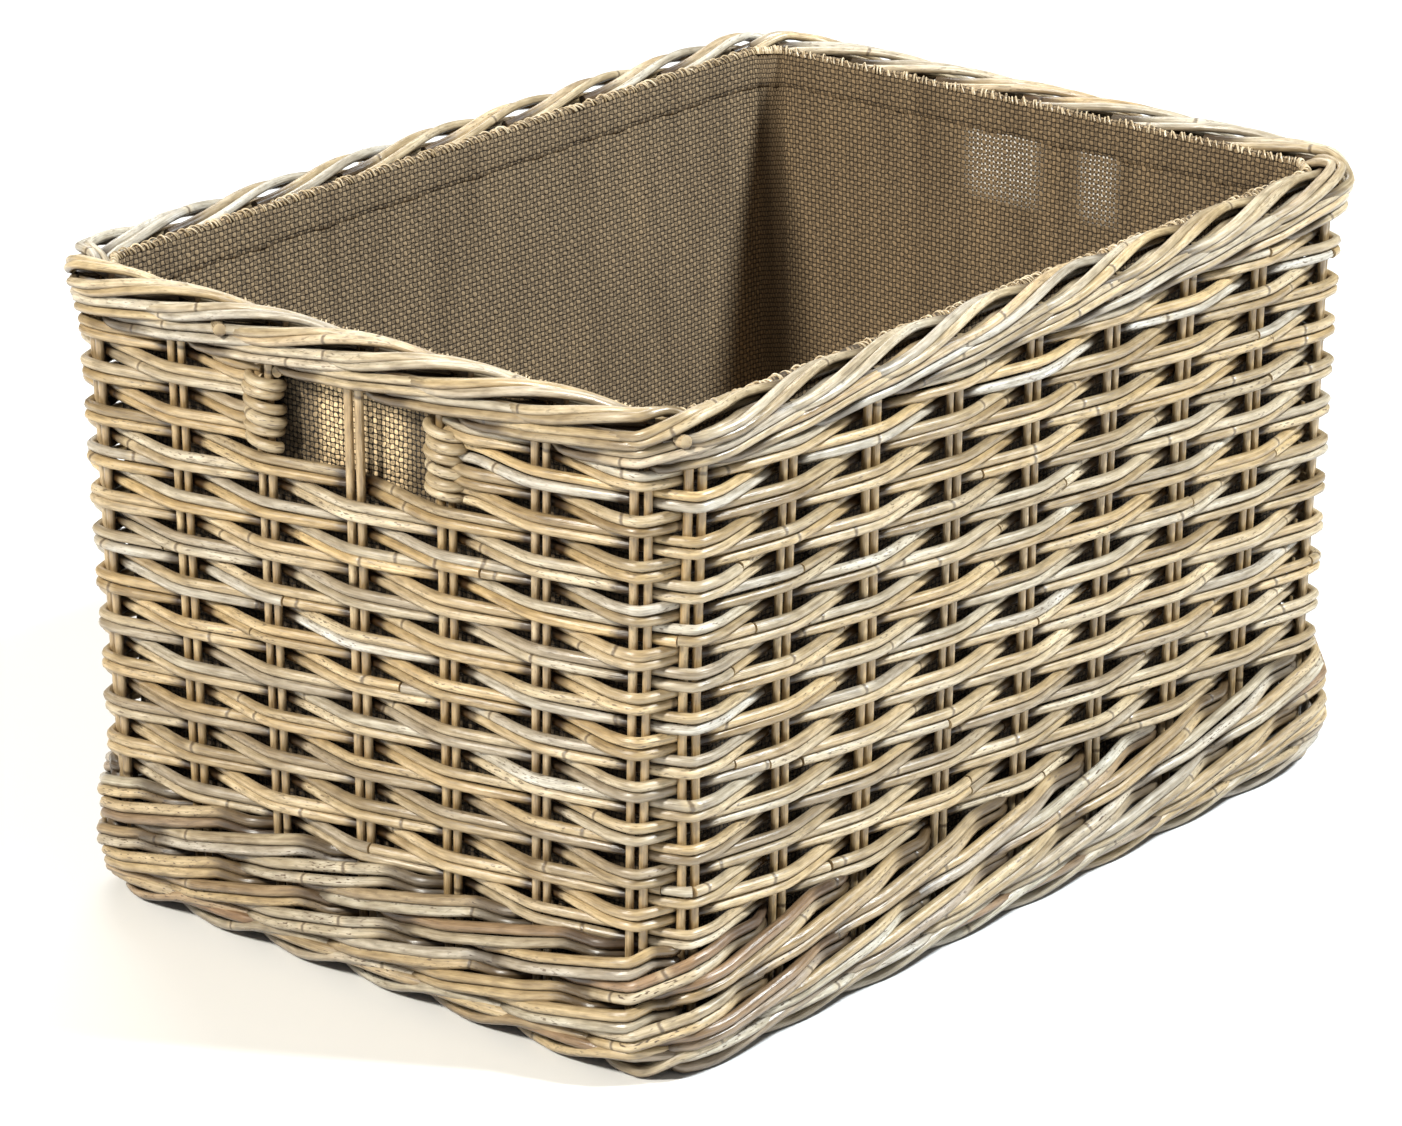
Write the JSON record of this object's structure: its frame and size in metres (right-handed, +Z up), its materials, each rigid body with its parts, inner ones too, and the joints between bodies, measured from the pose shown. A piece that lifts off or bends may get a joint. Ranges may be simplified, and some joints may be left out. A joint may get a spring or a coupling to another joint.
{
  "type": "wicker log basket",
  "caption": "Rectangular randed rattan log basket with paired stakes, waled rim and foot, a hand hole in each short side and a sewn hessian liner.",
  "frame": {"origin": "on the floor under the middle of the basket", "axes": "+X along the length, +Z up, the long front side faces -Y"},
  "size_m": [0.5608, 0.4162, 0.328],
  "materials": {
    "stake": "peeled straw-coloured rattan, satin",
    "weaver": "grey-washed and straw rattan rods with node rings, satin",
    "rim": "grey-washed rattan rods, slanting wale and rolled border, satin",
    "foot": "thicker speckled rattan rods, satin to matt",
    "base": "plain woven rattan rods, matt",
    "liner": "coarse plain-weave hessian, matt"
  },
  "bodies": {
    "root": {"stake_01": "stake", "stake_02": "stake", "stake_03": "stake", "stake_04": "stake", "stake_05": "stake", "stake_06": "stake", "stake_07": "stake", "stake_08": "stake", "stake_09": "stake", "stake_10": "stake", "stake_11": "stake", "stake_12": "stake", "stake_13": "stake", "stake_14": "stake", "stake_15": "stake", "stake_16": "stake", "stake_17": "stake", "stake_18": "stake", "stake_19": "stake", "stake_20": "stake", "stake_21": "stake", "stake_22": "stake", "stake_23": "stake", "stake_24": "stake", "stake_25": "stake", "stake_26": "stake", "stake_27": "stake", "stake_28": "stake", "stake_29": "stake", "stake_30": "stake", "stake_31": "stake", "stake_32": "stake", "weaver_01_front": "weaver", "weaver_01_back": "weaver", "weaver_02_front": "weaver", "weaver_02_back": "weaver", "weaver_03": "weaver", "weaver_04": "weaver", "weaver_05": "weaver", "weaver_06": "weaver", "weaver_07": "weaver", "weaver_08": "weaver", "weaver_09": "weaver", "weaver_10": "weaver", "weaver_11": "weaver", "rim_wale_outer": "rim", "rim_wale_inner": "rim", "rim_border": "rim", "foot_wale_upper": "foot", "foot_wale_lower": "foot", "foot_border": "foot", "base_hoop": "base", "base_mat": "base", "liner_wall": "liner", "liner_floor": "liner", "liner_hem": "liner"}
  },
  "joints": []
}
